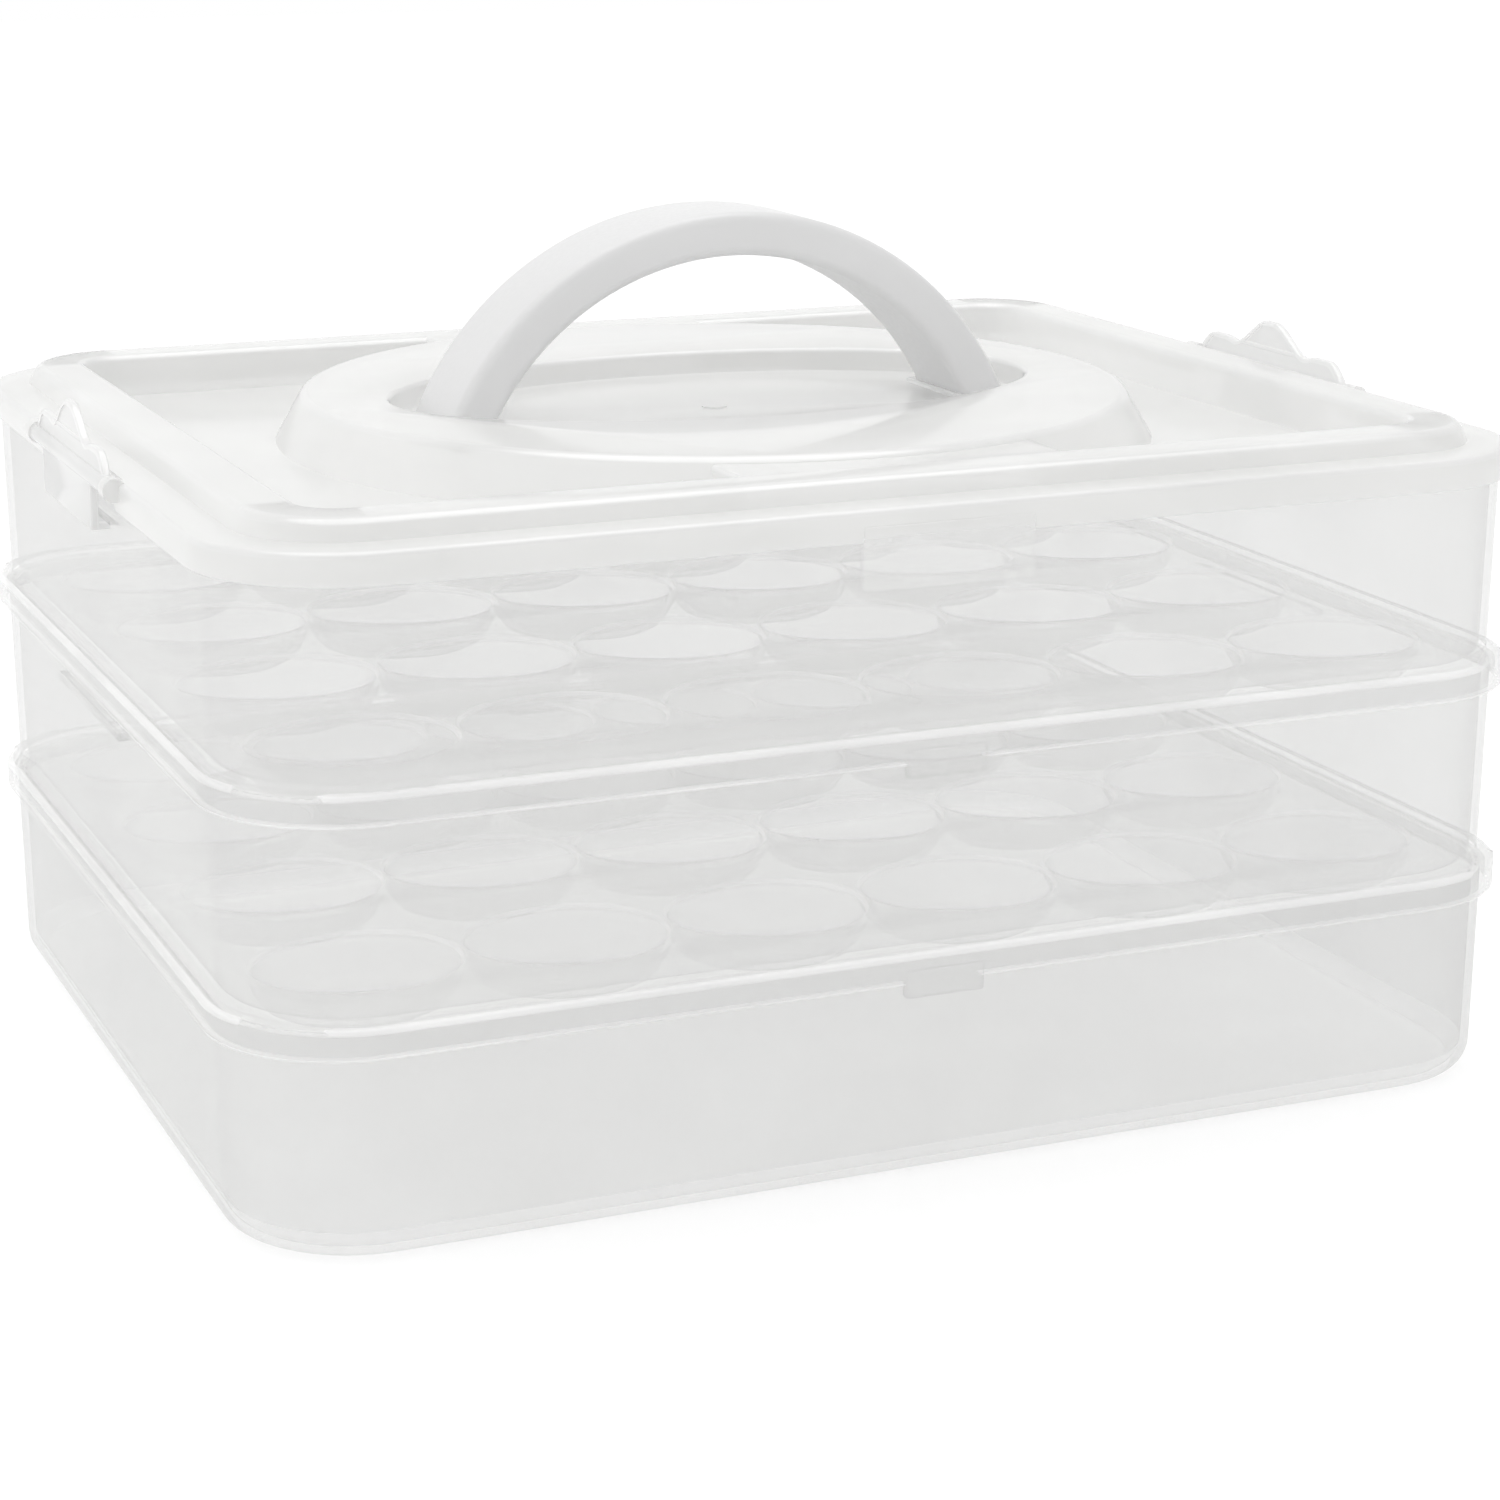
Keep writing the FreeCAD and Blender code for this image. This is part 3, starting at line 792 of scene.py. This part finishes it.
def latch_right():
    """The latch on the +X side."""
    inner, outer = pivot_x - half_grip, pivot_x + half_grip
    # The whole grip goes in the edge slot with its painted highlight, so the raised border left by
    # the sunk faces stays paler than them.
    piece = mark_all(grip_strip("side_latch_right_moulding", 0, inner, outer, 0.45 * mm),
                     edge_highlight_slot)
    cut(piece, grip_strip("hollow_in", border, inner - mm, inner + sunk, 0))
    cut(piece, grip_strip("hollow_out", border, outer - sunk, outer + mm, 0))
    rib = bar((inner + 0.1 * mm, outer - 0.1 * mm), across(14 * mm),
              (pivot_z + 5.6 * mm, pivot_z + 6.8 * mm), 0.3 * mm)
    join(piece, rib)
    axle = cylinder_along_y(2.2 * mm, across(35.6 * mm), pivot_x, pivot_z, 30)
    join(axle, cylinder_along_y(1.2 * mm, across(39.6 * mm), pivot_x, pivot_z, 26))
    arm_low = top_rim - 11.2 * mm
    arm = bar((pivot_x, pivot_x + 1.8 * mm), across(arm_half),
              (arm_low, pivot_z + 0.4 * mm), 0.4 * mm)
    hook = bar((half_length + 0.55 * mm, pivot_x + 1.7 * mm), across(arm_half - 0.1 * mm),
               (arm_low + 0.05 * mm, arm_low + 1.8 * mm), 0.4 * mm)
    join(arm, hook)
    join(axle, arm)
    join(piece, axle)
    outward(piece)
    edit(piece)
    pick_all()
    bpy.ops.mesh.fill_holes(sides=8)
    close(piece)
    outward(piece)
    return smooth(piece)


right_latch = latch_right()
left_latch = own_copy(right_latch, "side_latch_left_moulding")
bpy.ops.transform.resize(value=(-1, 1, 1), center_override=(0, 0, 0))
bpy.ops.mesh.normals_make_consistent(inside=False)
close(left_latch)
for latch, node in ((right_latch, "side_latch_right"), (left_latch, "side_latch_left")):
    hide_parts(node)
    count(latch)

# %% [markdown]
# Each piece rides on one moving body of the frame. The tiers, the lid and the handle stand
# still together, and each latch rocks by itself.

# %% What moves with what
for piece in (base_moulding, lower_moulding, upper_moulding, lid_moulding, handle_band):
    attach(piece, "carrier")
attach(right_latch, "latch_right")
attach(left_latch, "latch_left")
print("two latches move, five pieces stand still")

# %% [markdown]
# Moulded plastic is never quite even. Its surface has a faint long wave from cooling and a very
# fine grain from the mould, and the clear walls carry small clouds of haze. One node group
# makes these three patterns, so that they are set up once, and each finish below takes the ones
# it shows at its own strength.

# %% Shared surface pattern
def moulded_pattern():
    """A node group with the wave, grain and haze of moulded plastic."""
    group = bpy.data.node_groups.new("moulded_pattern", "ShaderNodeTree")
    face = group.interface
    sizes = (("Wave Size", 22.0, "Wave"), ("Grain Size", 900.0, "Grain"),
             ("Haze Size", 30.0, "Haze"))
    for name, default, result in sizes:
        socket = face.new_socket(name=name, in_out="INPUT", socket_type="NodeSocketFloat")
        socket.default_value = default
        face.new_socket(name=result, in_out="OUTPUT", socket_type="NodeSocketFloat")
    nodes, links = group.nodes, group.links
    entry = nodes.new("NodeGroupInput")
    leave = nodes.new("NodeGroupOutput")
    place = nodes.new("ShaderNodeTexCoord")
    for name, default, result in sizes:
        noise = nodes.new("ShaderNodeTexNoise")
        noise.inputs["Detail"].default_value = 0.0
        links.new(place.outputs["Object"], noise.inputs["Vector"])
        links.new(entry.outputs[name], noise.inputs["Scale"])
        links.new(noise.outputs["Fac"], leave.inputs[result])
    return group


pattern = moulded_pattern()
print("pattern nodes", len(pattern.nodes))

# %% [markdown]
# Every finish starts the same way: a Principled shader, the shared pattern beside it, a colour
# that clouds between two tints and a faint wave on the surface.

# %% First nodes of a finish
def spread(nodes, links, source, low, high):
    """Turns noise, which mostly lies between 0.3 and 0.7, into a range of values."""
    step = nodes.new("ShaderNodeMapRange")
    for name, value in (("From Min", 0.3), ("From Max", 0.7), ("To Min", low), ("To Max", high)):
        step.inputs[name].default_value = value
    links.new(source, step.inputs["Value"])
    return step.outputs["Result"]


def start_finish(name, refraction):
    """A new material, with its nodes, links, shader and the pattern's outputs."""
    finish = bpy.data.materials.new(name)
    finish.use_nodes = True
    nodes, links = finish.node_tree.nodes, finish.node_tree.links
    shader = nodes["Principled BSDF"]
    shader.inputs["IOR"].default_value = refraction
    marks = nodes.new("ShaderNodeGroup")
    marks.node_tree = pattern
    return finish, nodes, links, shader, marks.outputs


def tint_and_wave(nodes, links, shader, marks, tint, strength, depth):
    """Clouds the colour between two tints and gives the surface its long wave."""
    clouds = nodes.new("ShaderNodeMix")
    clouds.data_type = "RGBA"
    clouds.inputs["A"].default_value = tint[0]
    clouds.inputs["B"].default_value = tint[1]
    links.new(marks["Haze"], clouds.inputs["Factor"])
    links.new(clouds.outputs["Result"], shader.inputs["Base Color"])
    relief = nodes.new("ShaderNodeBump")
    relief.inputs["Strength"].default_value = strength
    relief.inputs["Distance"].default_value = depth
    links.new(marks["Wave"], relief.inputs["Height"])
    links.new(relief.outputs["Normal"], shader.inputs["Normal"])


# %% [markdown]
# The tiers, the lid and the latches are the same milky clear plastic, almost clear in the trays
# and cloudy in the lid and the latches. Refracting glass would be one way to show it, but
# dozens of thin walls behind each other turn that dark and slow. Here a sheet lets most light
# straight through and holds back a share of it as a white haze. Seen along its surface there is
# more plastic in the way, so edges, rims and round corners come out denser: the share held back
# rises with the angle at which the sheet is seen. Haze sends most scattered light onward
# instead of swallowing it, so rays that already come from a scattering face are held back less,
# which keeps the insides of the tiers bright.

# %% Clear plastic
edge_rise = 3.5
scattered_share = 0.25


def clear_plastic(name, haze, edge, tint, rough):
    """Milky clear plastic, from its haze seen square on and the density of its edges."""
    finish, nodes, links, shader, marks = start_finish(name, 1.49)
    tint_and_wave(nodes, links, shader, marks, tint, 0.2, 0.4 * mm)
    links.new(spread(nodes, links, marks["Haze"], *rough), shader.inputs["Roughness"])
    angle = nodes.new("ShaderNodeLayerWeight")
    angle.inputs["Blend"].default_value = 0.5
    rise = nodes.new("ShaderNodeMath")
    rise.operation = "POWER"
    rise.inputs[1].default_value = edge_rise
    links.new(angle.outputs["Facing"], rise.inputs[0])
    density = nodes.new("ShaderNodeMix")
    density.inputs["B"].default_value = edge
    links.new(rise.outputs[0], density.inputs["Factor"])
    links.new(spread(nodes, links, marks["Haze"], *haze), density.inputs["A"])
    path = nodes.new("ShaderNodeLightPath")
    scattered = nodes.new("ShaderNodeMapRange")
    scattered.inputs["To Min"].default_value = 1.0
    scattered.inputs["To Max"].default_value = scattered_share
    links.new(path.outputs["Is Diffuse Ray"], scattered.inputs["Value"])
    held_back = nodes.new("ShaderNodeMath")
    held_back.operation = "MULTIPLY"
    links.new(density.outputs["Result"], held_back.inputs[0])
    links.new(scattered.outputs["Result"], held_back.inputs[1])
    links.new(held_back.outputs[0], shader.inputs["Alpha"])
    return finish


# %% [markdown]
# Eight finishes come from that one recipe. The colours are greys with a trace less blue, which
# reads as clean plastic in white light. Rounded edges are denser than the walls and painted
# paler, a painted highlight, and the floors are painted pale, as painted light from the open
# studio above them.

# %% The clear finishes
def soft_grey(value, blue):
    """A grey with its own share of blue, as a colour."""
    return (value, value, blue, 1)


grey, milky = soft_grey(0.56, 0.555), soft_grey(0.66, 0.65)
# Two of these greys are painted light: the pale one lightens the floors, and the bright one is the
# painted highlight on rounded edges.
pale, highlight_white = soft_grey(0.79, 0.785), soft_grey(0.97, 0.965)
tray_plastic = clear_plastic("clear_tray_plastic", haze=(0.16, 0.21), edge=0.6,
                             tint=(grey, milky), rough=(0.10, 0.18))
lid_plastic = clear_plastic("cloudy_lid_plastic", haze=(0.56, 0.64), edge=0.88,
                            tint=(soft_grey(0.75, 0.74), soft_grey(0.80, 0.79)),
                            rough=(0.10, 0.16))
box_plastic = clear_plastic("cloudy_box_plastic", haze=(0.2, 0.27), edge=0.7,
                            tint=(grey, milky), rough=(0.14, 0.24))
latch_plastic = clear_plastic("clear_latch_plastic", haze=(0.5, 0.58), edge=0.8,
                              tint=(soft_grey(0.72, 0.715), soft_grey(0.77, 0.765)),
                              rough=(0.10, 0.16))
# The latch's edge finish is paler than its walls: a painted highlight.
latch_edge_highlight_plastic = clear_plastic("latch_edge_highlight_plastic", haze=(0.5, 0.6), edge=0.85,
                                   tint=(soft_grey(0.77, 0.765), soft_grey(0.84, 0.835)),
                                   rough=(0.10, 0.16))
# The floor finish is nearly clear and painted pale: painted light, as if the floors were lit from
# the open studio above.
floor_plastic = clear_plastic("pale_floor_plastic", haze=(0.12, 0.17), edge=0.6,
                              tint=(pale, soft_grey(0.85, 0.84)), rough=(0.12, 0.2))
# The rounded-edge finish is paler than the walls: a painted highlight.
edge_highlight_plastic = clear_plastic("rounded_edge_highlight_plastic", haze=(0.32, 0.42), edge=0.78,
                             tint=(soft_grey(0.82, 0.815), highlight_white), rough=(0.08, 0.14))
# The lid's edge finish is a little paler than the lid: a painted highlight.
lid_edge_highlight_plastic = clear_plastic("lid_edge_highlight_plastic", haze=(0.56, 0.64), edge=0.84,
                                 tint=(soft_grey(0.76, 0.755), soft_grey(0.82, 0.815)),
                                 rough=(0.08, 0.13))
print("clear finishes", len([m for m in bpy.data.materials if m.name.endswith("_plastic")]))

# %% [markdown]
# The handle is opaque white plastic with a satin face. Its colour varies by a hair, and the
# fine grain of the mould keeps its highlights soft. Plain white without them would look like
# unpainted geometry.

# %% White plastic
def white_plastic():
    """Opaque satin white plastic."""
    finish, nodes, links, shader, marks = start_finish("satin_white_plastic", 1.46)
    shader.inputs["Specular IOR Level"].default_value = 0.2
    tint = (soft_grey(0.68, 0.68), soft_grey(0.72, 0.72))
    tint_and_wave(nodes, links, shader, marks, tint, 0.25, 0.3 * mm)
    links.new(spread(nodes, links, marks["Grain"], 0.3, 0.42), shader.inputs["Roughness"])
    return finish


handle_plastic = white_plastic()
for piece, on_walls, on_edges in (
    (base_moulding, box_plastic, edge_highlight_plastic),
    (lower_moulding, tray_plastic, edge_highlight_plastic),
    (upper_moulding, tray_plastic, edge_highlight_plastic),
    (lid_moulding, lid_plastic, lid_edge_highlight_plastic),
    (handle_band, handle_plastic, handle_plastic),
    (right_latch, latch_plastic, latch_edge_highlight_plastic),
    (left_latch, latch_plastic, latch_edge_highlight_plastic),
):
    for slot, finish in enumerate((on_walls, on_edges, floor_plastic)):
        piece.data.materials[slot] = finish
    print(piece.name, "is", on_walls.name, "with", on_edges.name)

# %% [markdown]
# The carrier stands on a plain white floor. The floor lies a fifth of a millimetre below the
# base, so that the two never share a plane, which would show as dark specks.

# %% Floor
bpy.ops.object.select_all(action="DESELECT")
bpy.ops.mesh.primitive_plane_add(size=8, location=(0, 0, -0.2 * mm))
floor = bpy.context.object
floor.name = "floor"


def pale_floor():
    """A matt white floor whose gloss varies by a hair."""
    finish = bpy.data.materials.new("pale_floor")
    finish.use_nodes = True
    nodes, links = finish.node_tree.nodes, finish.node_tree.links
    shader = nodes["Principled BSDF"]
    grain = nodes.new("ShaderNodeTexNoise")
    grain.inputs["Scale"].default_value = 6
    place = nodes.new("ShaderNodeTexCoord")
    links.new(place.outputs["Object"], grain.inputs["Vector"])
    links.new(spread(nodes, links, grain.outputs["Fac"], 0.9, 1.0), shader.inputs["Roughness"])
    shader.inputs["Base Color"].default_value = (1, 1, 1, 1)
    shader.inputs["Specular IOR Level"].default_value = 0.0
    return finish


floor.data.materials.append(pale_floor())
print("floor", [round(v, 3) for v in floor.dimensions])

# %% [markdown]
# A white room lights the carrier, as for a product photograph: from all round, and a little
# more from above, from the left and from behind. What the camera sees past the carrier is plain
# white. Reflections also see a bright ceiling, which draws a fine light line along every rounded
# edge, the way a large soft lamp does. Lamps would do it too, but their shadows cross dozens of
# clear walls. For the same reason the world isn't sampled as a lamp: all light then arrives on
# scattered rays, for which the plastic's haze is thinner.

# %% Light
world = bpy.context.scene.world or bpy.data.worlds.new("studio")
bpy.context.scene.world = world
world.use_nodes = True
world.cycles.sampling_method = "NONE"
sky = world.node_tree.nodes
joins = world.node_tree.links
back = sky["Background"]
back.inputs["Color"].default_value = (1, 1, 1, 1)
around = sky.new("ShaderNodeTexCoord")
axes = sky.new("ShaderNodeSeparateXYZ")
joins.new(around.outputs["Generated"], axes.inputs["Vector"])


def sky_range(axis, low, high, at_low, at_high):
    """Turns one axis of the sky's direction into a strength."""
    step = sky.new("ShaderNodeMapRange")
    step.interpolation_type = "SMOOTHSTEP"
    for name, value in (("From Min", low), ("From Max", high), ("To Min", at_low),
                        ("To Max", at_high)):
        step.inputs[name].default_value = value
    joins.new(axes.outputs[axis], step.inputs["Value"])
    return step.outputs["Result"]


def sky_math(operation, first, second):
    """One sum, product or maximum of two strengths."""
    step = sky.new("ShaderNodeMath")
    step.operation = operation
    for socket, value in zip(step.inputs, (first, second)):
        if isinstance(value, (int, float)):
            socket.default_value = value
        else:
            joins.new(value, socket)
    return step.outputs[0]


path = sky.new("ShaderNodeLightPath")
from_left = sky_range("X", -0.9, 0.9, 1.03, 0.9)
from_above = sky_range("Z", 0.0, 0.9, 0.98, 1.22)
from_behind = sky_range("Y", -0.9, 0.7, 0.88, 1.12)
soft_light = sky_math("MULTIPLY", sky_math("MULTIPLY", from_left, from_behind), from_above)
ceiling = sky_range("Z", 0.8, 0.92, 0.0, 6.0)
gleam = sky_math("ADD", sky_math("MULTIPLY", ceiling, path.outputs["Is Glossy Ray"]), soft_light)
clear_view = sky_math("MAXIMUM", path.outputs["Is Camera Ray"],
                      path.outputs["Is Transmission Ray"])
plain = sky_math("SUBTRACT", 1.0, clear_view)
strength = sky_math("ADD", sky_math("MULTIPLY", gleam, plain), clear_view)
joins.new(strength, back.inputs["Strength"])
print("sky nodes", len(sky))

# %% [markdown]
# The camera stands left of the middle and looks down a little on the front and the left side,
# as in the photograph. A small lens shift, instead of more tilt, keeps the upright edges nearly
# parallel. A line of sight crosses up to two dozen clear sheets, so rays may pass through that
# many, while real bounces are few because the haze needs no more.

# %% Camera and light paths
look_down = 12.87
turn_right = 22.96
bpy.ops.object.camera_add(location=(-0.3106, -0.7550, 0.2864),
                          rotation=(math.radians(90 - look_down), 0, math.radians(-turn_right)))
camera = bpy.context.object
camera.data.lens = 83.61
camera.data.sensor_width = 36
camera.data.shift_y = -0.1
scene = bpy.context.scene
bpy.context.scene.camera = camera
scene.view_settings.view_transform = "Standard"
scene.cycles.max_bounces = 3
scene.cycles.diffuse_bounces = 2
scene.cycles.glossy_bounces = 2
scene.cycles.transparent_max_bounces = 26
print("camera", [round(v, 3) for v in camera.location])
